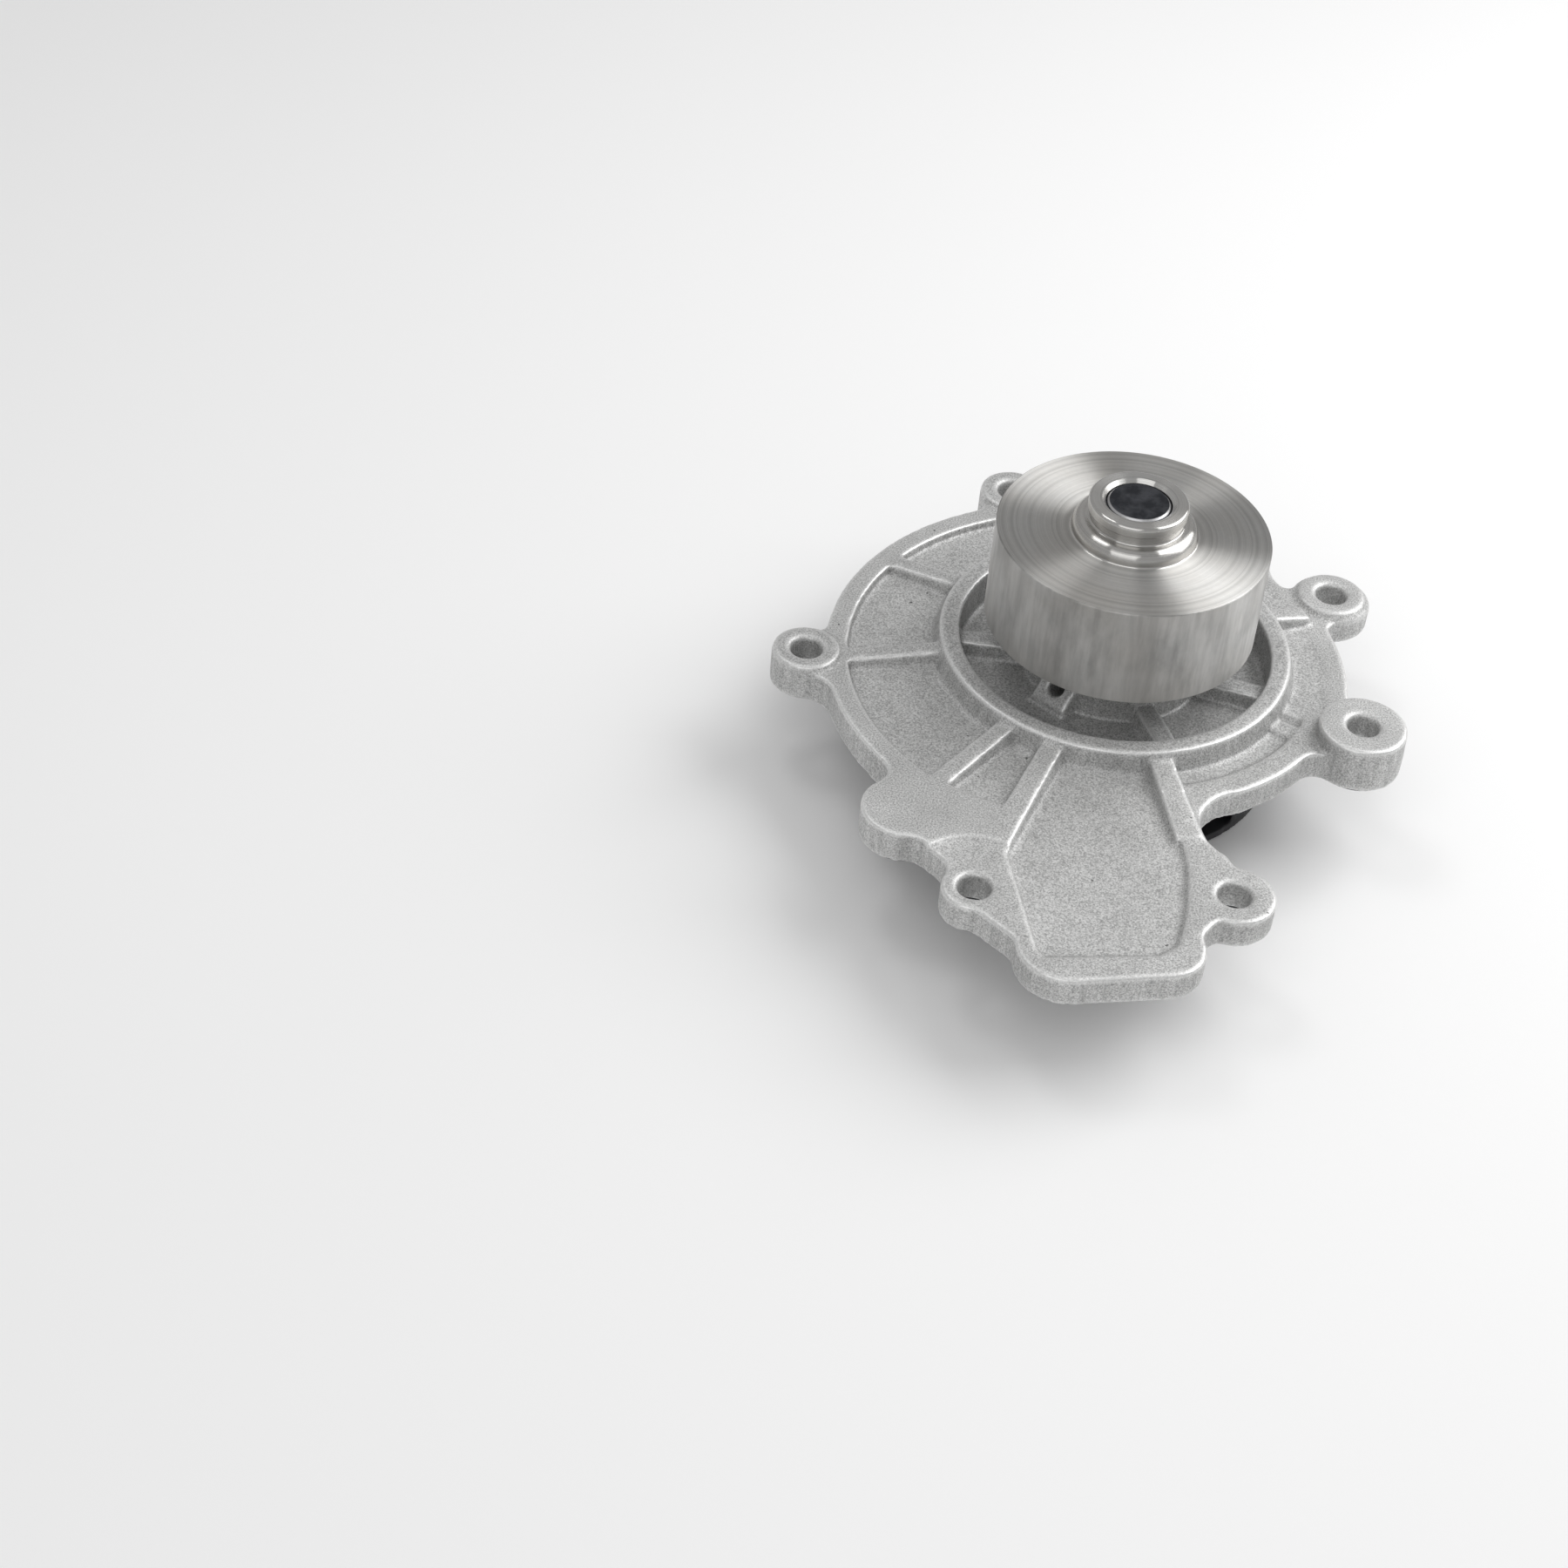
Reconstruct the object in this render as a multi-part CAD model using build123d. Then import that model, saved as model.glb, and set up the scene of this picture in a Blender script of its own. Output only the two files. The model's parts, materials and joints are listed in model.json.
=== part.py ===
from build123d import *
import math
import os

# Engine coolant pump: a belt-driven rotor in a cast aluminium cover with its gasket.
# Millimetres. Z is the shaft axis, Z = 0 is the mounting face of the cover, +Z points at the pulley.

# --- cast cover, plan view ---
volute_c = (-2.4, -6.7)          # centre of the large left-hand outline arc
volute_r = 67.5
right_c = (-9.0, -3.0)           # centre of the right-hand outline arc
right_r = 67.4
throat_r = 56.3                  # outline arc about the shaft, front right
throat_start = -58               # where that arc takes over from the volute arc
front_angle = -14                # where it meets the right-hand side
rim_width = 5.5                  # raised rim inside the outline
land_width = 6.6                 # machined sealing land under the rim
p1 = (-33.0, 58.6)               # bolt ears, clockwise from the back left
p2 = (-73.1, -21.0)
p4 = (-21.3, -92.4)
p5 = (36.4, -79.9)
p6 = (61.7, -17.2)
p7 = (51.8, 38.5)
blind_c = (-40.6, -70.6)         # lobe that holds the second dowel
ear_r = 8.4
blind_r = 10.3
p4_r = 7.6
p5_r = 9.5
p6_r = 10.8
p7_r = 8.1
p7_foot_r = 10.0
outlet_left_c = (1.5, -105.5)    # rounded corners of the outlet lobe
outlet_left_r = 11.8
outlet_right_c = (22.3, -100.7)
outlet_right_r = 9.6
bay_c = (39.0, -56.0)            # scalloped bay between the outlet lobe and the throat
bay_r = 12.4
notch_c = (46.0, 48.0)           # scallop beside the back right ear
notch_r = 10.0

# --- cast cover, heights above the mounting face ---
rim_h = 8.4
pad_h = 7.5                      # front bolt pads and outlet border
right_h = 6.4                    # right-hand rim
floor_h = 6.2                    # floor of the pockets between the ribs
skin = 3.4                       # casting wall under the pockets
ring_h = 11.8                    # top of the round guard ring
p2_h = 9.7
p1_h = 9.7
p6_h = 12.0
p7_h = 8.0
step_r = 15.6                    # edge of the lowered pad round the fourth bolt
well_floor = 3.0
well_skin = 4.5

# --- guard ring, well and bearing boss ---
pulley_r = 33.0
well_gap = 5.3                   # radial room between the pulley and the ring
ring_wall = 4.8
ring_draft = 2.0
boss_wall = 4.6                  # wall of the bearing boss
boss_draft = 1.6
boss_h = 36.0
well_rib_w = 5.0
well_rib_h = 7.4
well_rib_angles = (-175, -62, -8, 52, 112)
rib_drop = 1.3                   # ribs meet the ring this far under its top
boss_inset = 0.15                # raised bolt bosses stand in from the flange edge
blend = 0.4                      # overlap of joined casting features

# --- weep drain ---
weep_angle = -123
weep_r = 2.1
weep_pad = 10.0
weep_reach = 22.0
weep_z = 8.1
weep_slope = 24.0
weep_face_tilt = 39.0             # drain face looks up by this much
weep_pad_depth = 8.0

# --- bolts and dowels ---
bolt_r = 3.8
bolt_chamfer = 0.8
dowel_r = 5.0
dowel_depth = 5.0

# --- gasket ---
gasket_t = 0.5
gasket_step = 0.6                # gasket opening stands back from the chamber wall
gasket_hole_gap = 0.3
gasket_inset = 1.0               # gasket edge stands back from the flange edge
bead_h = 0.3
bead_w = 1.2

# --- integral shaft bearing ---
shaft_r = 7.959
bearing_r = 15.0
bearing_len = 32.0
bearing_z = 7.4                  # lower end of the bearing outer ring
race_r = 12.7
race_gap = 0.08
cage_gap = 0.25
lip_seal_t = 1.6
seal_shaft_gap = 0.08
groove_depth = 0.45
ball_count = 8
ball_z = 6.6                     # ball row above the lower end of the bearing
roller_count = 10
roller_len = 9.0
roller_z = 23.2                  # middle of the roller row above the lower end
cage_t = 1.5
cage_ring_w = 1.6

# --- rotor ---
pulley_bottom = 18.3
pulley_top = 44.6
pulley_rim_t = 3.4
pulley_web_t = 3.6
collar_h = 9.0
collar_r = 12.0
collar_neck_r = 11.3
collar_foot_r = 15.1
collar_shoulder_h = 3.6
collar_shoulder_blend = 2.8
collar_neck_h = 2.2
collar_step = 0.7
collar_chamfer = 0.9
pulley_edge = 0.5
pulley_root = 2.0
shaft_end_chamfer = 0.9
shaft_sink = 0.5                 # shaft end below the collar top
slinger_r = 10.2
slinger_t = 0.8

# --- mechanical seal ---
seal_r = 18.2
seal_bore_depth = 8.0
seal_face_z = -6.0               # open face of the seal boss
seal_boss_wall = 3.8
seal_neck_r = 11.0
seal_cup_t = 0.8
seal_lip = 2.2
seal_hole_r = 10.5
sleeve_t = 0.7
sleeve_rise = 3.2                # top of the sleeve above the mounting face
carbon_gap = 0.75                # room between the sleeve and the still carbon ring
carbon_wall = 3.8
carbon_len = 3.6
carbon_nose = 0.8
carbon_nose_w = 1.8
face_gap = 0.05
bellows_t = 1.0
bellows_fold = 0.4               # tube of the bellows inside the carbon's outside
bellows_lip_gap = 0.5
ferrule_foot = -7.8              # lower edge of ferrule and bellows skirt
ferrule_t = 0.6
spring_wire = 1.2
spring_turns = 2.5
mating_z = -9.0                  # rubbing plane of carbon and mating ring
mating_wall = 5.5
mating_t = 4.0
mating_bore_gap = 0.3
boot_t = 1.2
slinger_rise = 3.6

# --- impeller ---
impeller_r = 43.5
impeller_bottom = -21.2
impeller_gap = 1.5               # under the cover
back_plate_t = 2.4
recess_gap = 2.5                 # round the seal boss
recess_floor_z = -9.8
shroud_t = 2.0
eye_r = 25.0
hub_wall = 4.0
hub_top_wall = 3.2
hub_rise = 1.2                   # hub end above the shroud underside
insert_wall = 2.6
blade_t = 2.2
blade_count = 7
blade_start_r = 19.5
blade_curve_r = 22.0
blade_curve_offset = 24.0

# --- plan corners ---
outline_corners = (              # (nearest point, blend radius)
    ((36, 47.1), 3), ((41.8, 38.9), 2), ((-24.8, 57), 6), ((-37, 51.2), 4),
    ((-69.6, -13.4), 4), ((-66.9, -26.7), 8), ((-43, -60.6), 5), ((-36.6, -80.1), 5),
    ((-26.9, -87.3), 5), ((-20, -99.9), 4), ((-10.2, -106.7), 4), ((30.9, -96.4), 4),
    ((35, -89.3), 3), ((35.9, -70.4), 2), ((34.6, -44.4), 5), ((51.9, -21.8), 5),
    ((58.3, -7), 3), ((50.5, 28.6), 3),
)
outlet_edge = (                  # flange edge that carries the front pads
    (-40, -50), (-42, -76), (-26, -88), (-22, -98.5), (-7, -109), (28, -100), (35, -86), (38, -74),
    (33.6, -67.2), (0, -20),
)
outlet_pocket = (                # shallow pocket over the outlet passage
    (-7.7, -44), (-15.6, -79.5), (-10.5, -93.6), (-5, -108.8), (-2.8, -110.7), (21.5, -103.8),
    (25.5, -99.3), (26.3, -88), (25.2, -73.7), (21.1, -58), (14.8, -44.9),
)
outlet_pocket_corners = (
    ((-15.6, -79.5), 3), ((-10.5, -93.6), 10), ((-5, -108.8), 1), ((-2.8, -110.7), 1),
    ((21.5, -103.8), 3), ((25.5, -99.3), 3), ((26.3, -88), 10), ((25.2, -73.7), 12), ((21.1, -58), 8),
)
pocket_throat_r = 49.8
outlet_chamber = (               # outlet passage in the underside
    (17.6, -46), (24.3, -78), (24.5, -97), (23, -102), (-1, -111.3), (-6, -107.5), (-10, -92),
    (-15, -79), (-20, -70.5), (-28, -64.5), (-41, -54), (0, 0),
)
chamber_throat_c = (1.6, 0.9)
chamber_throat_r = 49.5
chamber_corners = (
    ((17.6, -46), 2), ((24.3, -78), 30), ((24.5, -97), 6), ((23, -102), 3), ((-1, -111.3), 4),
    ((-6, -107.5), 4), ((-10, -92), 20), ((-15, -79), 14), ((-20, -70.5), 6), ((-28, -64.5), 12),
)
rib_list = (                     # direction, width, outer end
    (160, 4.2, 64.5), (197, 4.2, 69), (-120, 4.2, 73), (-103.5, 5.0, 79), (-69, 5.5, 69),
    (32, 4.2, 54.0),
)
low_ribs = ((-13, 4.2, 53.5), (-22, 4.2, 52.5))
rib_foot = 0.9                   # rib side draft

ring_in_r = pulley_r + well_gap
ring_out_r = ring_in_r + ring_wall
ring_foot_r = ring_out_r + ring_draft
boss_r = bearing_r + boss_wall
ceiling = floor_h - skin
well_under = well_floor - well_skin
bearing_top = bearing_z + bearing_len
shaft_top = pulley_top + collar_h - shaft_sink
seal_top = seal_face_z + seal_bore_depth
sleeve_r = shaft_r + sleeve_t
carbon_in_r = sleeve_r + carbon_gap
carbon_out_r = carbon_in_r + carbon_wall
carbon_top = mating_z + carbon_nose + carbon_len
mating_out_r = sleeve_r + mating_wall
mating_bottom = mating_z - face_gap - mating_t
boot_r = mating_out_r + boot_t
boot_bottom = mating_bottom - boot_t
hub_bottom = impeller_bottom + hub_rise
insert_r = shaft_r + insert_wall
impeller_top = well_under - impeller_gap
recess_r = seal_r + seal_boss_wall + recess_gap
pitch_r = (race_r + shaft_r) / 2
roller_r = (race_r - shaft_r) / 2 - race_gap
ball_r = roller_r + groove_depth
bolts = ((p1, p1_h), (p2, p2_h), (p4, pad_h), (p5, pad_h), (p6, p6_h), (p7, p7_h))


def at(point, z=0.0):
    return Pos(point[0], point[1], z)


def polar(r, degrees):
    a = math.radians(degrees)
    return (r * math.cos(a), r * math.sin(a))


def disc(point, r):
    return at(point) * Circle(r)


def post(point, r, z0, z1):
    # upright cylinder between two heights
    return at(point, (z0 + z1) / 2) * Cylinder(r, z1 - z0)


def cone_post(point, r0, r1, z0, z1):
    # upright cone frustum, r0 at the lower height
    return at(point, (z0 + z1) / 2) * Cone(r0, r1, z1 - z0)


def tube(r_in, r_out, z0, z1):
    return post((0, 0), r_out, z0, z1) - post((0, 0), r_in, z0, z1)


def turned(points):
    # solid of revolution from (radius, height) corners
    return revolve(Plane.XZ * make_face(Polyline(*points, close=True)), Axis.Z)


def plan(points):
    return make_face(Polyline(*points, close=True))


def slab(face, z0, z1):
    return Pos(0, 0, z0) * extrude(face, z1 - z0)


def sector(start, end, far=150):
    # wedge of the plan between two directions from the shaft
    middle = (start + end) / 2
    return plan([(0, 0), polar(far, start), polar(far * 1.4, middle), polar(far, end)])


def web(c1, r1, c2, r2):
    # the two straight sides that wrap two round lobes
    dx = c2[0] - c1[0]
    dy = c2[1] - c1[1]
    heading = math.degrees(math.atan2(dy, dx))
    tilt = math.degrees(math.acos((r1 - r2) / math.hypot(dx, dy)))
    points = []
    for centre, r, side in ((c1, r1, -1), (c2, r2, -1), (c2, r2, 1), (c1, r1, 1)):
        d = polar(r, heading + side * tilt)
        points.append((centre[0] + d[0], centre[1] + d[1]))
    return plan(points)


def round_corners(face, radii):
    # fillet the corner of a plan face nearest to each listed point
    for point, r in radii:
        corner = min(face.vertices(), key=lambda v: math.hypot(v.X - point[0], v.Y - point[1]))
        face = fillet(corner, r)
    return face


def ring_edges(solid, r, z):
    # circular edges of a turned solid at one radius and height
    found = []
    for edge in solid.edges():
        if edge.geom_type == GeomType.CIRCLE and abs(edge.radius - r) < 0.01:
            if abs(edge.center().Z - z) < 0.01:
                found.append(edge)
    return found


# ---------- cover ----------

def flange_outline(inset=0.0):
    body = disc(volute_c, volute_r - inset) & disc(right_c, right_r - inset)
    body -= sector(throat_start, front_angle) - disc((0, 0), throat_r - inset)
    body -= disc(notch_c, notch_r + inset)
    pads = plan(outlet_edge)
    if inset > 0:
        pads = offset(pads, -inset)
    body += pads
    body -= disc(bay_c, bay_r + inset)
    body += web(outlet_left_c, outlet_left_r - inset, outlet_right_c, outlet_right_r - inset)
    lobes = (
        (p1, ear_r), (p2, ear_r), (blind_c, blind_r), (p4, p4_r), (p5, p5_r), (p6, p6_r),
        (p7, p7_foot_r), (outlet_left_c, outlet_left_r), (outlet_right_c, outlet_right_r),
    )
    for centre, r in lobes:
        body += disc(centre, r - inset)
    return round_corners(body.face(), outline_corners)


def flange_slab(outline):
    # one plate with a lower front and a lower right-hand side
    body = slab(outline, 0, rim_h)
    front = sector(-103, front_angle) + disc(p4, step_r)
    body -= slab(front, pad_h, rim_h + 1)
    body -= slab(sector(front_angle, 60), right_h, rim_h + 1)
    return body


def pocket_plan():
    pocket = disc(volute_c, volute_r - rim_width) & disc(right_c, right_r - rim_width)
    pocket -= sector(-66, front_angle) - disc((0, 0), pocket_throat_r)
    pocket += round_corners(plan(outlet_pocket).face(), outlet_pocket_corners)
    return pocket


def chamber_plan(grow=0.0):
    # coolant side recess; grow moves its wall outward
    round_part = disc(volute_c, volute_r - land_width + grow) & disc(right_c, right_r - land_width + grow)
    round_part -= sector(-70, 10) - disc(chamber_throat_c, chamber_throat_r + grow)
    passage = round_corners(plan(outlet_chamber).face(), chamber_corners)
    if grow > 0:
        passage = offset(passage, grow)
    return round_part + passage


def radial_block(angle, r0, r1, width, z0, top0, top1):
    # rib along a radius, top0 at r0 and top1 at r1, sides drafted
    side = plan([(r0, z0), (r1, z0), (r1, top1), (r0, top0)])
    wall = extrude(Plane.XZ * side, width / 2 + rib_foot, both=True)
    high = max(top0, top1)
    foot = width + 2 * rib_foot
    draft = math.degrees(math.atan(rib_foot / (high - z0)))
    base = Rectangle(r1 - r0 + 2 * rib_foot, foot)
    block = Pos((r0 + r1) / 2, 0, z0) * extrude(base, high - z0, taper=draft)
    return Rot(0, 0, angle) * (wall & block)


def guard_ring():
    ring = post((0, 0), ring_out_r, well_under, ring_h)
    ring += cone_post((0, 0), ring_foot_r, ring_out_r, ceiling, ring_h)
    start = ring_in_r + 1
    foot = floor_h - blend
    for angle, width, end in rib_list:
        ring += radial_block(angle, start, end, width, foot, ring_h - rib_drop, rim_h - 0.2)
    for angle, width, end in low_ribs:
        ring += radial_block(angle, start, end, width, foot, pad_h, pad_h - 0.3)
    return ring


def well():
    # bearing boss, its ribs and the seal boss on the well floor
    body = cone_post((0, 0), boss_r + boss_draft, boss_r, well_floor - blend, boss_h)
    body += post((0, 0), ring_in_r + blend, well_under, well_floor)
    end = ring_in_r + 1
    foot = well_floor - blend
    for angle in well_rib_angles:
        body += radial_block(angle, boss_r, end, well_rib_w, foot, well_rib_h, well_rib_h)
    body += post((0, 0), seal_r + seal_boss_wall, seal_face_z, well_under + blend)
    return body


def drain_plane(tilt):
    # plane at the drain mouth; its normal leans up from the horizontal by tilt
    a = math.radians(weep_angle)
    t = math.radians(tilt)
    normal = (math.cos(a) * math.cos(t), math.sin(a) * math.cos(t), math.sin(t))
    mouth = (weep_reach * math.cos(a), weep_reach * math.sin(a), weep_z)
    return Plane(origin=mouth, x_dir=(-math.sin(a), math.cos(a), 0), z_dir=normal)


def drain_pad():
    return extrude(drain_plane(weep_face_tilt) * Rectangle(weep_pad, weep_pad), -weep_pad_depth)


def drain_hole():
    run = weep_reach - seal_neck_r + weep_r
    drill = extrude(drain_plane(weep_slope) * Circle(weep_r), -run)
    return drill + extrude(drain_plane(weep_slope) * Circle(weep_r), weep_pad)


def bolt_hole(point, top):
    hole = post(point, bolt_r, -1, top + 1)
    mouth = bolt_r + 2 * bolt_chamfer
    return hole + cone_post(point, bolt_r, mouth, top - bolt_chamfer, top + bolt_chamfer)


def cover():
    outline = flange_outline()
    body = flange_slab(outline)
    body -= slab(pocket_plan(), floor_h, rim_h + 1)
    body -= slab(chamber_plan(), -1, ceiling)
    for centre, r, top in ((p1, ear_r, p1_h), (p2, ear_r, p2_h), (p6, p6_r, p6_h)):
        body += post(centre, r - boss_inset, right_h - blend, top)
    body += cone_post(p7, p7_foot_r - blend, p7_r, right_h - blend, p7_h)
    body += guard_ring()
    body -= post((0, 0), ring_in_r, well_under - 1, ring_h + 1)
    body += well()
    body += drain_pad()
    body -= post((0, 0), bearing_r, bearing_z, boss_h + 1)
    body -= post((0, 0), seal_neck_r, seal_top - blend, bearing_z + blend)
    body -= post((0, 0), seal_r, seal_face_z - 1, seal_top)
    body -= drain_hole()
    for point, top in bolts:
        body -= bolt_hole(point, top)
    for point in (blind_c, p6):
        body -= post(point, dowel_r, -1, dowel_depth)
    return body


# ---------- gasket ----------

def gasket():
    plate = flange_outline(gasket_inset) - chamber_plan(gasket_step)
    for point, top in bolts:
        r = dowel_r if point == p6 else bolt_r
        plate -= disc(point, r + gasket_hole_gap)
    plate -= disc(blind_c, dowel_r + gasket_hole_gap)
    bead = chamber_plan(gasket_step + 2 * bead_w) - chamber_plan(gasket_step + bead_w)
    return slab(plate, -gasket_t, 0) + slab(bead, -gasket_t - bead_h, -gasket_t)


# ---------- shaft bearing ----------

def ball_groove(gap):
    return Pos(0, 0, bearing_z + ball_z) * Torus(pitch_r, ball_r + gap)


def bearing_outer():
    ring = tube(race_r, bearing_r, bearing_z, bearing_top)
    edges = ring_edges(ring, bearing_r, bearing_z) + ring_edges(ring, bearing_r, bearing_top)
    return chamfer(edges, 0.5) - ball_groove(race_gap)


def shaft():
    body = post((0, 0), shaft_r, hub_bottom, shaft_top)
    body = chamfer(ring_edges(body, shaft_r, shaft_top), shaft_end_chamfer)
    body = chamfer(ring_edges(body, shaft_r, hub_bottom), shaft_end_chamfer / 2)
    return body - ball_groove(race_gap)


def lip_seal(z0):
    return tube(shaft_r + seal_shaft_gap, race_r, z0, z0 + lip_seal_t)


def around(shape, count):
    # copies of one shape spread evenly about the shaft
    return [Rot(0, 0, 360 / count * i) * shape for i in range(count)]


def cage(half_length, middle, pocket, count):
    body = tube(pitch_r - cage_t / 2, pitch_r + cage_t / 2, middle - half_length, middle + half_length)
    for hole in around(pocket, count):
        body -= hole
    return body


def ball_cage():
    pocket = Pos(pitch_r, 0, bearing_z + ball_z) * Rot(0, 90, 0) * Cylinder(ball_r + cage_gap, 2 * cage_t)
    return cage(ball_r + cage_gap + cage_ring_w, bearing_z + ball_z, pocket, ball_count)


def bearing_balls():
    return Compound(around(Pos(pitch_r, 0, bearing_z + ball_z) * Sphere(ball_r), ball_count))


def roller_cage():
    middle = bearing_z + roller_z
    pocket = Pos(pitch_r, 0, middle) * Cylinder(roller_r + cage_gap, roller_len + 2 * cage_gap)
    return cage(roller_len / 2 + cage_gap + cage_ring_w, middle, pocket, roller_count)


def bearing_rollers():
    roller = Pos(pitch_r, 0, bearing_z + roller_z) * Cylinder(roller_r, roller_len)
    return Compound(around(roller, roller_count))


# ---------- pulley ----------

def pulley():
    web_under = pulley_top - pulley_web_t
    rim_in = pulley_r - pulley_rim_t
    shoulder = pulley_top + collar_shoulder_h
    neck_top = shoulder + collar_neck_h
    collar_top = pulley_top + collar_h
    body = turned([
        (shaft_r, web_under), (rim_in, web_under), (rim_in, pulley_bottom), (pulley_r, pulley_bottom),
        (pulley_r, pulley_top), (collar_foot_r, pulley_top), (collar_foot_r, shoulder),
        (collar_neck_r, shoulder), (collar_neck_r, neck_top), (collar_r, neck_top + collar_step),
        (collar_r, collar_top), (shaft_r, collar_top),
    ])
    body = fillet(ring_edges(body, collar_foot_r, shoulder), collar_shoulder_blend)
    body = fillet(ring_edges(body, collar_r, collar_top), collar_chamfer)
    body = fillet(ring_edges(body, rim_in, web_under), pulley_root)
    body = fillet(ring_edges(body, pulley_r, pulley_top), pulley_edge)
    body = chamfer(ring_edges(body, pulley_r, pulley_bottom), pulley_edge)
    return chamfer(ring_edges(body, shaft_r, collar_top), collar_chamfer)


# ---------- mechanical seal ----------

def seal_cup():
    under = seal_top - seal_cup_t
    inner = seal_r - seal_cup_t
    foot = seal_face_z - seal_cup_t
    return turned([
        (seal_hole_r, under), (inner, under), (inner, foot), (seal_r + seal_lip, foot),
        (seal_r + seal_lip, seal_face_z), (seal_r, seal_face_z), (seal_r, seal_top), (seal_hole_r, seal_top),
    ])


def seal_bellows():
    top = seal_top - seal_cup_t
    under = top - bellows_t
    tube_out = carbon_out_r - bellows_fold
    tube_in = tube_out - bellows_t
    skirt = carbon_out_r + bellows_t
    return turned([
        (seal_hole_r + bellows_lip_gap, top), (seal_r - seal_cup_t - bellows_lip_gap, top),
        (seal_r - seal_cup_t - bellows_lip_gap, under), (tube_out, under),
        (tube_out, carbon_top + bellows_t), (skirt, carbon_top + bellows_t), (skirt, ferrule_foot),
        (carbon_out_r, ferrule_foot), (carbon_out_r, carbon_top), (tube_in, carbon_top),
        (tube_in, under), (seal_hole_r + bellows_lip_gap, under),
    ])


def seal_ferrule():
    inner = carbon_out_r + bellows_t
    outer = inner + ferrule_t
    flange = seal_r - seal_cup_t - bellows_lip_gap
    return turned([
        (inner, ferrule_foot), (flange, ferrule_foot), (flange, ferrule_foot + ferrule_t),
        (outer, ferrule_foot + ferrule_t), (outer, carbon_top), (inner, carbon_top),
    ])


def seal_spring():
    low = ferrule_foot + ferrule_t + spring_wire / 2
    high = seal_top - seal_cup_t - bellows_t - spring_wire / 2
    middle = (carbon_out_r + bellows_t + ferrule_t + seal_r - seal_cup_t) / 2
    coil = Pos(0, 0, low) * Helix(pitch=(high - low) / spring_turns, height=high - low, radius=middle)
    section = Plane(origin=coil @ 0, z_dir=coil % 0) * Circle(spring_wire / 2)
    return sweep(section, coil)


def seal_carbon():
    step_in = carbon_in_r + (carbon_wall - carbon_nose_w) / 2
    step_out = step_in + carbon_nose_w
    foot = mating_z + carbon_nose
    return turned([
        (carbon_in_r, carbon_top), (carbon_in_r, foot), (step_in, foot), (step_in, mating_z),
        (step_out, mating_z), (step_out, foot), (carbon_out_r, foot), (carbon_out_r, carbon_top),
    ])


def seal_sleeve():
    return tube(shaft_r, sleeve_r, boot_bottom, sleeve_rise)


def mating_ring():
    return tube(sleeve_r + mating_bore_gap, mating_out_r, mating_bottom, mating_z - face_gap)


def mating_boot():
    wall_top = recess_floor_z + 0.2
    return turned([
        (sleeve_r, boot_bottom), (boot_r, boot_bottom), (boot_r, wall_top), (mating_out_r, wall_top),
        (mating_out_r, mating_bottom), (sleeve_r, mating_bottom),
    ])


def slinger():
    return tube(shaft_r, slinger_r, slinger_rise, slinger_rise + slinger_t)


# ---------- impeller ----------

def blade():
    # one curved vane swept back from the hub to the rim
    outer = disc((blade_curve_offset, 0), blade_curve_r + blade_t / 2)
    inner = disc((blade_curve_offset, 0), blade_curve_r - blade_t / 2)
    return (outer - inner) & (disc((0, 0), impeller_r - 0.5) - disc((0, 0), blade_start_r)) & sector(0, 120)


def impeller():
    under = impeller_top - back_plate_t
    pan_under = recess_floor_z - back_plate_t
    shroud_top = impeller_bottom + shroud_t
    body = post((0, 0), impeller_r, under, impeller_top)
    body += post((0, 0), recess_r + back_plate_t, pan_under, impeller_top)
    body += cone_post((0, 0), insert_r + hub_wall, boot_r + hub_top_wall, hub_bottom, pan_under)
    vanes = slab(blade(), shroud_top - blend, under + blend)
    for vane in around(vanes, blade_count):
        body += vane
    body += tube(eye_r, impeller_r, impeller_bottom, shroud_top)
    body -= post((0, 0), recess_r, recess_floor_z, impeller_top + 1)
    body -= post((0, 0), boot_r, boot_bottom, recess_floor_z + 1)
    body -= post((0, 0), insert_r, hub_bottom - 1, boot_bottom + 1)
    return body


def impeller_insert():
    body = tube(shaft_r, insert_r, hub_bottom, boot_bottom)
    return body


nodes = {
    "cover_housing": cover,
    "gasket": gasket,
    "bearing_outer_ring": bearing_outer,
    "front_bearing_seal": lambda: lip_seal(bearing_top - lip_seal_t),
    "rear_bearing_seal": lambda: lip_seal(bearing_z),
    "seal_cup": seal_cup,
    "seal_bellows": seal_bellows,
    "seal_spring": seal_spring,
    "seal_ferrule": seal_ferrule,
    "seal_carbon_ring": seal_carbon,
    "shaft": shaft,
    "pulley": pulley,
    "impeller": impeller,
    "impeller_insert": impeller_insert,
    "seal_sleeve": seal_sleeve,
    "seal_mating_ring": mating_ring,
    "mating_ring_boot": mating_boot,
    "slinger": slinger,
    "ball_cage": ball_cage,
    "bearing_balls": bearing_balls,
    "roller_cage": roller_cage,
    "bearing_rollers": bearing_rollers,
}

os.makedirs("parts", exist_ok=True)
for name, build in nodes.items():
    export_step(build(), f"parts/{name}.step")
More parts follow.
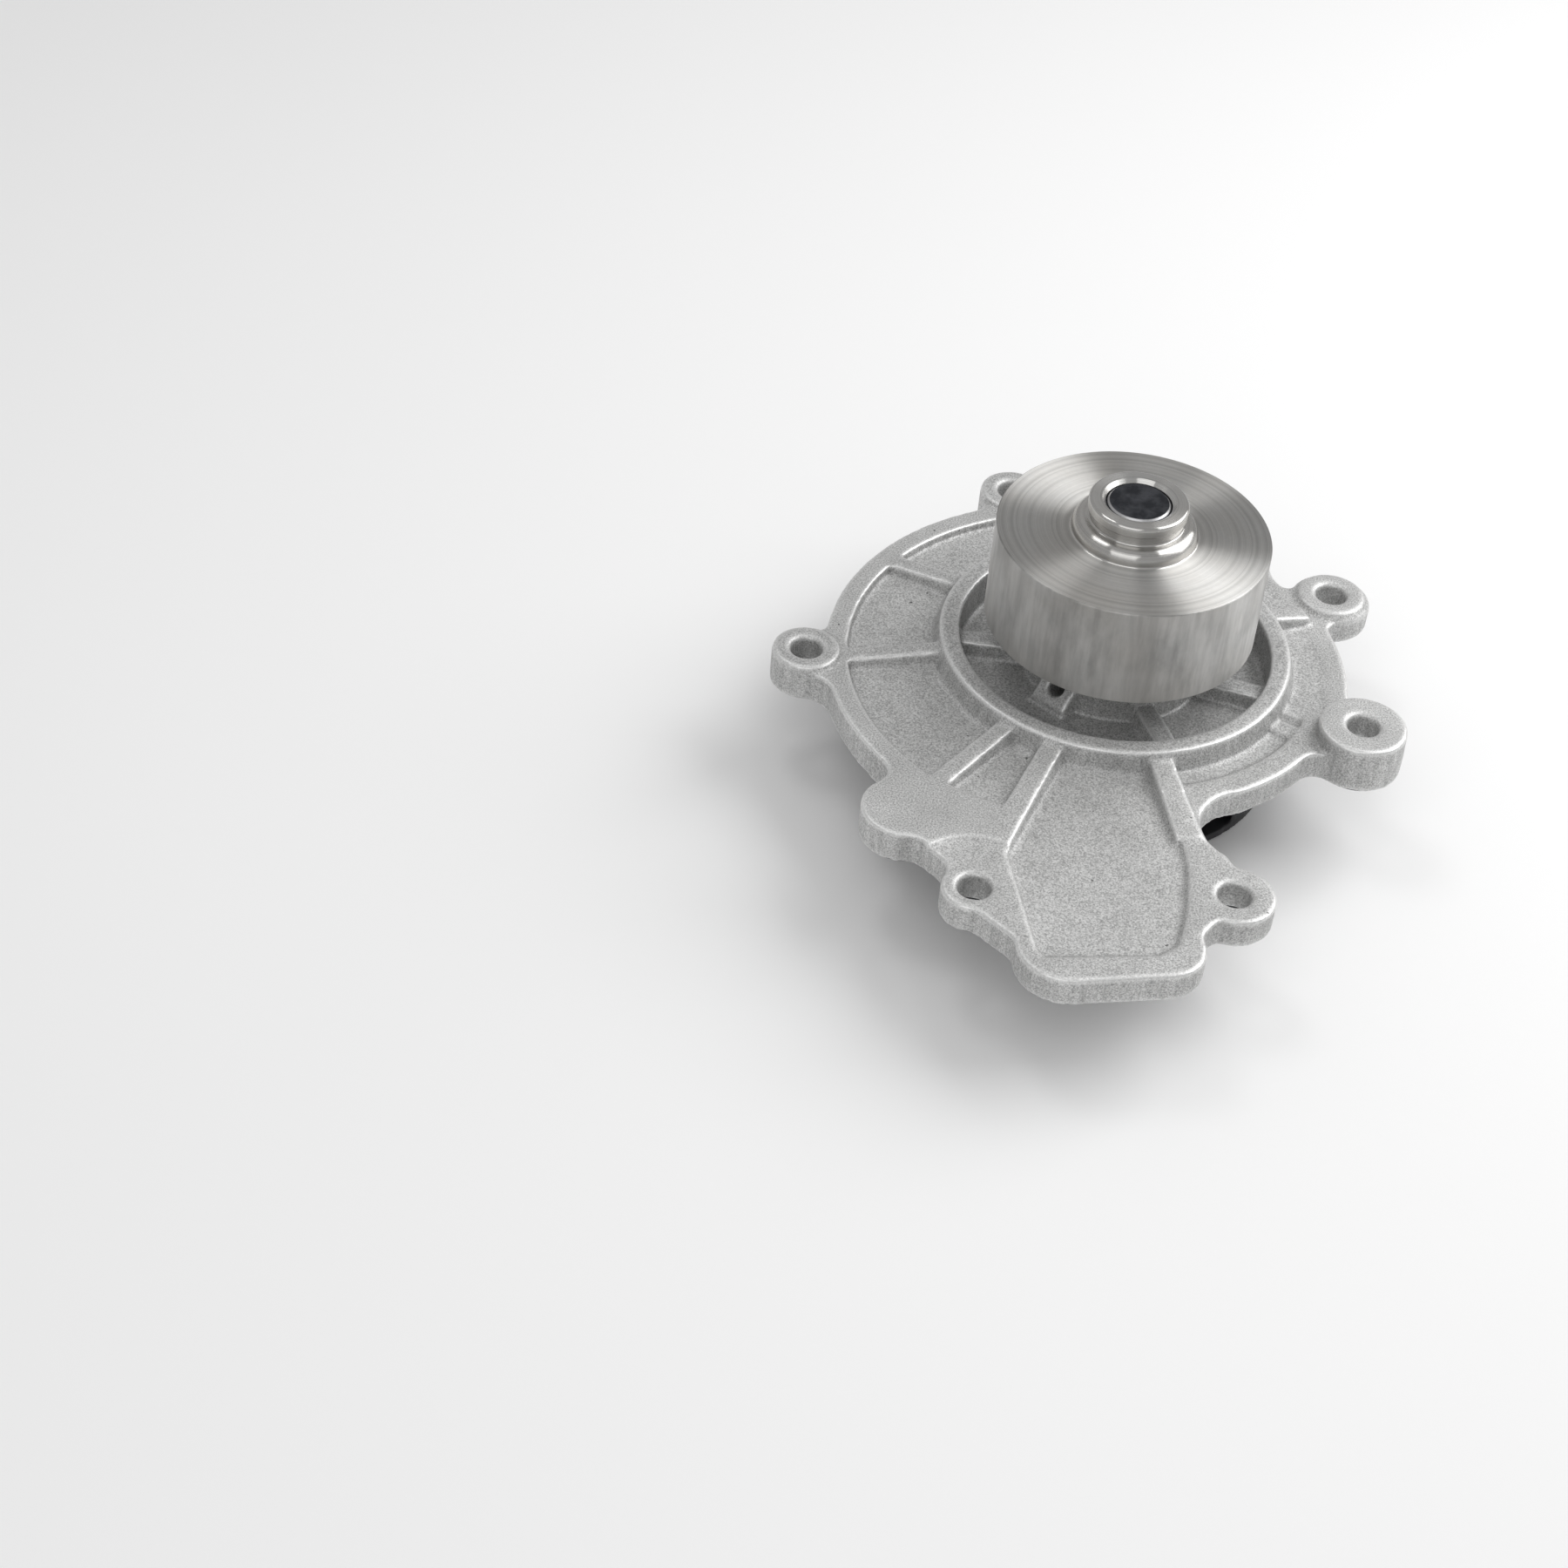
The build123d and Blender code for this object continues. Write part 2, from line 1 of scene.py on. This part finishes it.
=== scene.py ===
import bpy
import json
import math
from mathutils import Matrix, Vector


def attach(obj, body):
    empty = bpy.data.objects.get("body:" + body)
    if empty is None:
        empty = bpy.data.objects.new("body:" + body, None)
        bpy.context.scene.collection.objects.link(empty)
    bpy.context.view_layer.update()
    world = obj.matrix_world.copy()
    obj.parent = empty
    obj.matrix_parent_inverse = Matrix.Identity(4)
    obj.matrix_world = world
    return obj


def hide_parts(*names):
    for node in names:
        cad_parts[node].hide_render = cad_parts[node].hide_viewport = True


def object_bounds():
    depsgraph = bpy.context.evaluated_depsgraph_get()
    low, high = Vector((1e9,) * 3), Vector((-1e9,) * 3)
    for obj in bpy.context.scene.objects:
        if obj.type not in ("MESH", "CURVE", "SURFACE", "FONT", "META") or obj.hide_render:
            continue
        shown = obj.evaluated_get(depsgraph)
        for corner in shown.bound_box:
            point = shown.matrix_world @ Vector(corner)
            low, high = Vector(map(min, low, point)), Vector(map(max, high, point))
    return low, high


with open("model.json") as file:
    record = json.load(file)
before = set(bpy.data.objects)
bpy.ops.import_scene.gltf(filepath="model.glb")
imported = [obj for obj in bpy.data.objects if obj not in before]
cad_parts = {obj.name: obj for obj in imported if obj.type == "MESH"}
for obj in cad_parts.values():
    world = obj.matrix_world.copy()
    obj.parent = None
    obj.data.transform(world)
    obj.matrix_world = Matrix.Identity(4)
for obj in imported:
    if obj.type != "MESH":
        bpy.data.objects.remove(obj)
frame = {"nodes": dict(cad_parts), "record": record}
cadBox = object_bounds()
nodes = frame["nodes"]
print("frame loaded:", len(nodes), "nodes")


# small helpers for building node materials

def newMaterial(name):
    mat = bpy.data.materials.new(name)
    mat.use_nodes = True
    tree = mat.node_tree
    shader = tree.nodes["Principled BSDF"]
    return mat, tree, shader


def addNode(tree, kind, inputs=None, **settings):
    node = tree.nodes.new(kind)
    for key, value in settings.items():
        setattr(node, key, value)
    for key, value in (inputs or {}).items():
        if isinstance(value, bpy.types.NodeSocket):
            tree.links.new(value, node.inputs[key])
        else:
            node.inputs[key].default_value = value
    return node


def place(tree, stretch=(1, 1, 1)):
    # object coordinates in metres, stretched for grain that runs one way
    coords = addNode(tree, "ShaderNodeTexCoord").outputs["Object"]
    return addNode(tree, "ShaderNodeMapping", {"Vector": coords, "Scale": stretch}).outputs[0]


def noise(tree, where, scale, detail=3.0, roughness=0.55):
    inputs = {"Vector": where, "Scale": scale, "Detail": detail, "Roughness": roughness}
    return addNode(tree, "ShaderNodeTexNoise", inputs).outputs["Fac"]


def ringNoise(tree, r, perMetre):
    # bands that depend only on the distance from the shaft axis
    inputs = {"W": calc(tree, "MULTIPLY", r, perMetre), "Scale": 1.0, "Detail": 2.0}
    return addNode(tree, "ShaderNodeTexNoise", inputs, noise_dimensions="1D").outputs["Fac"]


def ramp(tree, value, stops):
    # stops: position and grey level or colour
    node = addNode(tree, "ShaderNodeValToRGB", {"Fac": value})
    while len(node.color_ramp.elements) < len(stops):
        node.color_ramp.elements.new(0.5)
    for element, (position, colour) in zip(node.color_ramp.elements, stops):
        element.position = position
        if isinstance(colour, (int, float)):
            colour = (colour, colour, colour)
        element.color = (*colour, 1)
    return node.outputs["Color"]


def mix(tree, amount, a, b, blend="MIX"):
    node = addNode(tree, "ShaderNodeMix", data_type="RGBA", blend_type=blend)
    for socket, value in ((node.inputs[0], amount), (node.inputs[6], a), (node.inputs[7], b)):
        if isinstance(value, bpy.types.NodeSocket):
            tree.links.new(value, socket)
        elif isinstance(value, (int, float)):
            socket.default_value = value
        else:
            socket.default_value = (*value, 1)
    return node.outputs[2]


def calc(tree, operation, a, b=0.0):
    node = addNode(tree, "ShaderNodeMath", operation=operation)
    for socket, value in ((node.inputs[0], a), (node.inputs[1], b)):
        if isinstance(value, bpy.types.NodeSocket):
            tree.links.new(value, socket)
        else:
            socket.default_value = value
    return node.outputs[0]


def bump(tree, height, depth, strength=1.0, under=None):
    inputs = {"Height": height, "Distance": depth, "Strength": strength}
    if under is not None:
        inputs["Normal"] = under
    return addNode(tree, "ShaderNodeBump", inputs).outputs[0]


def plug(tree, shader, **sockets):
    names = {"colour": "Base Color", "metal": "Metallic", "rough": "Roughness", "normal": "Normal"}
    for key, value in sockets.items():
        socket = shader.inputs[names[key]]
        if isinstance(value, bpy.types.NodeSocket):
            tree.links.new(value, socket)
        elif isinstance(value, (int, float)):
            socket.default_value = value
        else:
            socket.default_value = (*value, 1)


def radius(tree):
    # distance from the shaft axis, in metres
    coords = addNode(tree, "ShaderNodeTexCoord")
    parts = addNode(tree, "ShaderNodeSeparateXYZ", {"Vector": coords.outputs["Object"]})
    x2 = calc(tree, "POWER", parts.outputs[0], 2.0)
    y2 = calc(tree, "POWER", parts.outputs[1], 2.0)
    return calc(tree, "SQRT", calc(tree, "ADD", x2, y2)), parts


# ---- cast aluminium of the cover ----
castLook = {
    "body": (0.565, 0.565, 0.56),
    "shade": (0.47, 0.47, 0.465),
    # edge: pale colour of the painted highlight along convex edges, partly also standing for worn edges
    "edge": (0.93, 0.93, 0.92),
    "grain": 2500,          # shot-blast dimples per metre
    "patches": 60,
    "grainDepth": 0.0001,
    "roughness": (0.46, 0.62),
}


def castAluminium():
    mat, tree, shader = newMaterial("castAluminium")
    where = place(tree)
    grain = noise(tree, where, castLook["grain"], 2.0, 0.6)
    coarse = noise(tree, where, castLook["grain"] / 5, 4.0, 0.6)
    patches = noise(tree, where, castLook["patches"], 5.0, 0.6)
    tone = mix(tree, ramp(tree, patches, [(0.35, 0.0), (0.68, 1.0)]), castLook["body"], castLook["shade"])
    speckle = ramp(tree, grain, [(0.34, 0.4), (0.5, 0.98), (0.65, 1.45)])
    tone = mix(tree, 0.65, tone, speckle, "MULTIPLY")
    surface = addNode(tree, "ShaderNodeNewGeometry")
    upright = addNode(tree, "ShaderNodeSeparateXYZ", {"Vector": surface.outputs["Normal"]})
    wall = ramp(tree, calc(tree, "ABSOLUTE", upright.outputs[2]), [(0.25, 1.0), (0.6, 0.0)])
    streak = noise(tree, place(tree, (1, 1, 0.06)), 700, 3.0, 0.6)
    drawn = ramp(tree, streak, [(0.35, 0.8), (0.65, 1.12)])
    tone = mix(tree, calc(tree, "MULTIPLY", wall, 0.7), tone, mix(tree, 1.0, tone, drawn, "MULTIPLY"))
    cavity = surface.outputs["Pointiness"]
    # painted highlight: convex edges found by pointiness are lightened towards the edge colour, partly also
    # standing for worn edges
    worn = ramp(tree, cavity, [(0.505, 0.0), (0.54, 1.0)])
    # painted shade: concave roots and creases found by pointiness are darkened
    creviceShade = ramp(tree, cavity, [(0.43, 0.55), (0.49, 1.0)])
    tone = mix(tree, 1.0, tone, creviceShade, "MULTIPLY")
    tone = mix(tree, calc(tree, "MULTIPLY", worn, 0.6), tone, castLook["edge"])
    pits = ramp(tree, noise(tree, where, 420, 1.0), [(0.185, 0.3), (0.205, 1.0)])
    tone = mix(tree, 1.0, tone, pits, "MULTIPLY")
    low, high = castLook["roughness"]
    rough = ramp(tree, coarse, [(0.3, low), (0.7, high)])
    rough = mix(tree, worn, rough, (0.32, 0.32, 0.32))
    normal = bump(tree, grain, castLook["grainDepth"], 0.55)
    normal = bump(tree, coarse, 0.00012, 0.35, normal)
    plug(tree, shader, colour=tone, metal=0.55, rough=rough, normal=normal)
    return mat


# ---- turned steel of the pulley ----
turnedLook = {
    "colour": (0.60, 0.597, 0.585),
    "warm": (0.55, 0.535, 0.51),
    "ringsPerMetre": 5200,
    "groovesPerMetre": 900,
    "polishedRoughness": (0.19, 0.19, 0.19),
    "toolDepth": 0.000012,
}


def turnedSteel():
    mat, tree, shader = newMaterial("turnedSteel")
    r, parts = radius(tree)
    z = parts.outputs[2]
    rings = ringNoise(tree, r, turnedLook["ringsPerMetre"])
    broad = ringNoise(tree, r, turnedLook["groovesPerMetre"])
    streaks = noise(tree, place(tree, (1, 1, 0.03)), 900, 3.0, 0.6)
    cloud = noise(tree, place(tree), 45, 4.0)
    tone = mix(tree, ramp(tree, cloud, [(0.35, 0.0), (0.7, 1.0)]), turnedLook["colour"], turnedLook["warm"])
    tone = mix(tree, 0.35, tone, ramp(tree, rings, [(0.3, 0.72), (0.7, 1.1)]), "MULTIPLY")
    grooves = ramp(tree, broad, [(0.36, 0.55), (0.5, 0.95), (0.64, 1.15)])
    tone = mix(tree, 0.3, tone, grooves, "MULTIPLY")
    tone = mix(tree, 0.12, tone, ramp(tree, streaks, [(0.35, 0.78), (0.65, 1.08)]), "MULTIPLY")
    rough = ramp(tree, broad, [(0.3, 0.43), (0.7, 0.46)])
    side = ramp(tree, calc(tree, "MULTIPLY", r, 30.0), [(0.978, 0.0), (0.984, 1.0)])
    rough = mix(tree, side, rough, ramp(tree, streaks, [(0.3, 0.30), (0.7, 0.38)]))
    # painted shade: the turned rim side of the pulley is darkened overall, with tool marks and scratches
    # varying it
    marks = noise(tree, place(tree, (1, 1, 0.55)), 75, 5.0, 0.6)
    sideShadeAndToolMarks = ramp(tree, marks, [(0.38, 0.60), (0.5, 0.74), (0.62, 0.84)])
    scratches = noise(tree, place(tree, (1, 1, 0.12)), 520, 3.0, 0.6)
    sideShadeAndToolMarks = mix(tree, 0.5, sideShadeAndToolMarks, ramp(tree, scratches, [(0.36, 0.75), (0.6, 1.08)]), "MULTIPLY")
    tone = mix(tree, side, tone, mix(tree, 1.0, tone, sideShadeAndToolMarks, "MULTIPLY"))
    polish = ramp(tree, calc(tree, "MULTIPLY", r, 30.0), [(0.455, 1.0), (0.49, 0.0)])
    onTop = ramp(tree, calc(tree, "MULTIPLY", z, 20.0), [(0.86, 0.0), (0.895, 1.0)])
    rough = mix(tree, calc(tree, "MULTIPLY", polish, onTop), rough, turnedLook["polishedRoughness"])
    height = calc(tree, "ADD", rings, calc(tree, "MULTIPLY", broad, 0.6))
    normal = bump(tree, height, turnedLook["toolDepth"], 0.5)
    shader.inputs["Anisotropic"].default_value = 1.0
    shader.inputs["Anisotropic Rotation"].default_value = 0.25
    tangent = addNode(tree, "ShaderNodeTangent", direction_type="RADIAL", axis="Z").outputs[0]
    tree.links.new(tangent, shader.inputs["Tangent"])
    plug(tree, shader, colour=tone, metal=1.0, rough=rough, normal=normal)
    return mat


def plainMetal(name, colour, rough, marks=1800, stretch=(1, 1, 0.05)):
    # drawn, ground or pressed metal with fine directional marks
    mat, tree, shader = newMaterial(name)
    lines = noise(tree, place(tree, stretch), marks, 3.0)
    cloud = noise(tree, place(tree), 90, 3.0)
    dark = tuple(c * 0.72 for c in colour)
    tone = mix(tree, ramp(tree, cloud, [(0.35, 0.0), (0.7, 1.0)]), colour, dark)
    tone = mix(tree, 0.3, tone, ramp(tree, lines, [(0.35, 0.75), (0.65, 1.1)]), "MULTIPLY")
    sheen = ramp(tree, lines, [(0.3, rough * 0.8), (0.7, rough * 1.25)])
    plug(tree, shader, colour=tone, metal=1.0, rough=sheen, normal=bump(tree, lines, 0.00001, 0.4))
    return mat


def mouldedBlack(name, colour, rough, grain=1500, depth=0.00003, metal=0.0):
    # plastic, rubber or carbon with a fine moulded grain
    mat, tree, shader = newMaterial(name)
    fine = noise(tree, place(tree), grain, 3.0)
    cloud = noise(tree, place(tree), 70, 4.0)
    pale = tuple(c * 1.7 + 0.004 for c in colour)
    tone = mix(tree, ramp(tree, cloud, [(0.35, 0.0), (0.75, 1.0)]), colour, pale)
    sheen = ramp(tree, fine, [(0.3, rough * 0.85), (0.7, min(1, rough * 1.2))])
    plug(tree, shader, colour=tone, metal=metal, rough=sheen, normal=bump(tree, fine, depth, 0.5))
    return mat


shaftLook = {
    "oxide": (0.028, 0.030, 0.036),
    "worn": (0.075, 0.078, 0.088),
    "chamfer": (0.55, 0.55, 0.56),
}


def blackShaft():
    # black oxide with a polished chamfer round its end
    mat, tree, shader = newMaterial("blackOxideSteel")
    r, parts = radius(tree)
    fine = noise(tree, place(tree), 1400, 3.0)
    cloud = noise(tree, place(tree), 260, 4.0)
    patches = ramp(tree, cloud, [(0.4, 0.0), (0.62, 1.0)])
    tone = mix(tree, patches, shaftLook["oxide"], shaftLook["worn"])
    ring = [(0.705, 0.0), (0.72, 1.0), (0.745, 1.0), (0.76, 0.0)]
    band = ramp(tree, calc(tree, "MULTIPLY", r, 100.0), ring)
    top = ramp(tree, calc(tree, "MULTIPLY", parts.outputs[2], 10.0), [(0.51, 0.0), (0.518, 1.0)])
    tone = mix(tree, calc(tree, "MULTIPLY", band, top), tone, shaftLook["chamfer"])
    rough = ramp(tree, fine, [(0.3, 0.26), (0.7, 0.42)])
    plug(tree, shader, colour=tone, metal=0.9, rough=rough, normal=bump(tree, fine, 0.00002, 0.5))
    return mat


materials = {
    "cast_aluminium": castAluminium(),
    "turned_steel": turnedSteel(),
    "shaft_steel": blackShaft(),
    "bearing_steel": plainMetal("groundBearingSteel", (0.60, 0.60, 0.61), 0.22),
    "pressed_steel": plainMetal("pressedStainless", (0.62, 0.61, 0.59), 0.30),
    "spring_steel": plainMetal("springWire", (0.52, 0.52, 0.52), 0.30),
    "insert_metal": plainMetal("machinedBrass", (0.72, 0.55, 0.28), 0.30),
    "black_rubber": mouldedBlack("sealRubber", (0.018, 0.018, 0.02), 0.62),
    "gasket_coating": mouldedBlack("gasketCoating", (0.016, 0.017, 0.02), 0.50, 900, 0.00002),
    "carbon": mouldedBlack("carbonGraphite", (0.035, 0.035, 0.038), 0.38, 2500, 0.00001, 0.2),
    "seal_ceramic": mouldedBlack("siliconCarbide", (0.14, 0.14, 0.15), 0.28, 3000, 0.000006),
    "impeller_polymer": mouldedBlack("impellerPlastic", (0.02, 0.02, 0.022), 0.45),
    "cage_polymer": mouldedBlack("cagePolyamide", (0.50, 0.42, 0.25), 0.45),
}
print("materials:", len(materials))

slotOf = {part["node"]: part["material_slot"] for part in frame["record"]["subparts"]}
for name, obj in nodes.items():
    obj.data.materials.clear()
    obj.data.materials.append(materials[slotOf[name]])


# ---- cast and moulded pieces with soft edges ----
softEdges = {
    "cover_housing": {"piece": "castCover", "body": "cover", "voxel": 0.00055, "passes": 7},
    "impeller": {"piece": "mouldedImpeller", "body": "rotor", "voxel": 0.0006, "passes": 4},
}


def softened(nodeName, piece, body, voxel, passes):
    # remesh the exact solid, then relax it so every edge and root gets a small radius
    obj = bpy.data.objects.new(piece, nodes[nodeName].data.copy())
    bpy.context.collection.objects.link(obj)
    remesh = obj.modifiers.new("skin", "REMESH")
    remesh.mode = "VOXEL"
    remesh.voxel_size = voxel
    remesh.use_smooth_shade = True
    relax = obj.modifiers.new("relax", "SMOOTH")
    relax.factor = 0.5
    relax.iterations = passes
    graph = bpy.context.evaluated_depsgraph_get()
    mesh = bpy.data.meshes.new_from_object(obj.evaluated_get(graph))
    obj.modifiers.clear()
    obj.data = mesh
    mesh.materials.clear()
    mesh.materials.append(materials[slotOf[nodeName]])
    for polygon in mesh.polygons:
        polygon.use_smooth = True
    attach(obj, body)
    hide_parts(nodeName)
    print(piece, len(mesh.polygons), "faces")
    return obj


for nodeName, how in softEdges.items():
    softened(nodeName, **how)


# ---- turned pieces, lathed finely ----

def arc(cr, cz, r, start, end, steps=8):
    # points of a rounded corner in the turning profile
    points = []
    for i in range(steps + 1):
        a = math.radians(start + (end - start) * i / steps)
        points.append((cr + r * math.cos(a), cz + r * math.sin(a)))
    return points


def lathe(piece, profile, body, nodeName, turns):
    # profile points are (radius, height) in millimetres
    verts = []
    faces = []
    count = len(profile)
    for i in range(turns):
        a = 2 * math.pi * i / turns
        for r, z in profile:
            verts.append((r * math.cos(a) / 1000, r * math.sin(a) / 1000, z / 1000))
    for i in range(turns):
        here = i * count
        there = ((i + 1) % turns) * count
        for j in range(count):
            k = (j + 1) % count
            faces.append((here + j, there + j, there + k, here + k))
    mesh = bpy.data.meshes.new(piece)
    mesh.from_pydata(verts, [], faces)
    mesh.validate()
    obj = bpy.data.objects.new(piece, mesh)
    bpy.context.collection.objects.link(obj)
    for polygon in mesh.polygons:
        polygon.use_smooth = True
    mesh.materials.append(materials[slotOf[nodeName]])
    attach(obj, body)
    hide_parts(nodeName)
    sharp(obj)
    return obj


def sharp(obj, degrees=28):
    obj.data.set_sharp_from_angle(angle=math.radians(degrees))


pulleySize = {
    "rim": 33.0, "rimIn": 29.6, "bottom": 18.3, "top": 44.6, "webUnder": 41.0, "edge": 0.5,
    "shoulder": 15.1, "shoulderTop": 48.2, "shoulderRound": 2.8, "root": 0.5,
    "neck": 11.3, "neckTop": 50.4, "collar": 12.0, "collarTop": 53.6, "bore": 7.96,
}


def pulleyProfile(s):
    e = s["edge"]
    points = [(s["bore"], s["webUnder"])]
    points += arc(s["rimIn"] - 2, s["webUnder"] - 2, 2, 90, 0)
    points += [(s["rimIn"], s["bottom"]), (s["rim"] - e, s["bottom"]), (s["rim"], s["bottom"] + e)]
    points += arc(s["rim"] - e, s["top"] - e, e, 0, 90)
    points += arc(s["shoulder"] + s["root"], s["top"] + s["root"], s["root"], -90, -180, 4)
    w = s["shoulderRound"]
    points += arc(s["shoulder"] - w, s["shoulderTop"] - w, w, 0, 90, 12)
    points += arc(s["neck"] + 0.5, s["shoulderTop"] + 0.5, 0.5, -90, -180, 4)
    points += [(s["neck"], s["neckTop"]), (s["collar"], s["neckTop"] + 0.7)]
    points += arc(s["collar"] - 0.9, s["collarTop"] - 0.9, 0.9, 0, 90, 8)
    points += [(s["bore"] + 0.9, s["collarTop"]), (s["bore"], s["collarTop"] - 0.9)]
    return points


lathe("turnedPulley", pulleyProfile(pulleySize), "rotor", "pulley", 360)
print("pulley turned")


# ---- stage, light and camera ----
studio = {
    "floorDrop": 0.0002,
    "floorHalf": 4.0,
    "floorColour": (0.93, 0.93, 0.93),
    "roomColour": (1.0, 1.0, 1.0),
    "worldStrength": 0.46,
}


def stage():
    z = cadBox[0][2] - studio["floorDrop"]
    size = studio["floorHalf"]
    mesh = bpy.data.meshes.new("paleFloor")
    corners = [(-size, -size, z), (size, -size, z), (size, size, z), (-size, size, z)]
    mesh.from_pydata(corners, [], [(0, 1, 2, 3)])
    floor = bpy.data.objects.new("paleFloor", mesh)
    bpy.context.collection.objects.link(floor)
    mat, tree, shader = newMaterial("paleFloorPaint")
    plug(tree, shader, colour=studio["floorColour"], rough=0.9, metal=0.0)
    shader.inputs["Specular IOR Level"].default_value = 0.1
    mesh.materials.append(mat)
    world = bpy.data.worlds.new("softRoom")
    world.use_nodes = True
    tree = world.node_tree
    back = tree.nodes["Background"]
    back.inputs["Color"].default_value = (*studio["roomColour"], 1)
    back.inputs["Strength"].default_value = studio["worldStrength"]
    bpy.context.scene.world = world


lights = [
    {"name": "sideSoftbox", "at": (0.51, 0.29, 0.58), "size": (0.7, 0.7), "power": 4.8},
    {"name": "backSoftbox", "at": (-0.32, 0.18, 0.75), "size": (0.22, 0.22), "power": 0.55},
    {"name": "frontSoftbox", "at": (-0.15, -0.75, 0.80), "size": (0.8, 0.8), "power": 2.0},
]


def lamp(name, at, size, power):
    data = bpy.data.lights.new(name, "AREA")
    data.shape = "RECTANGLE"
    data.size, data.size_y = size
    data.energy = power
    obj = bpy.data.objects.new(name, data)
    obj.location = at
    bpy.context.collection.objects.link(obj)
    aim = bpy.data.objects.new(name + "Aim", None)
    aim.location = (0, -0.02, 0.02)
    bpy.context.collection.objects.link(aim)
    track = obj.constraints.new("TRACK_TO")
    track.target = aim
    track.track_axis = "TRACK_NEGATIVE_Z"
    track.up_axis = "UP_Y"


camera = {"lens": 69.06, "sensor": 36, "at": (0.0, -0.5891, 0.4634), "tilt": (48.865, -3.785, 10.884)}


def addCamera(lens, sensor, at, tilt):
    data = bpy.data.cameras.new("viewCamera")
    data.lens = lens
    data.sensor_width = sensor
    data.clip_start = 0.01
    obj = bpy.data.objects.new("viewCamera", data)
    obj.location = at
    obj.rotation_euler = [math.radians(angle) for angle in tilt]
    bpy.context.collection.objects.link(obj)
    bpy.context.scene.camera = obj


stage()
for one in lights:
    lamp(**one)
addCamera(**camera)
bpy.context.scene.view_settings.view_transform = "Standard"
print("studio ready")
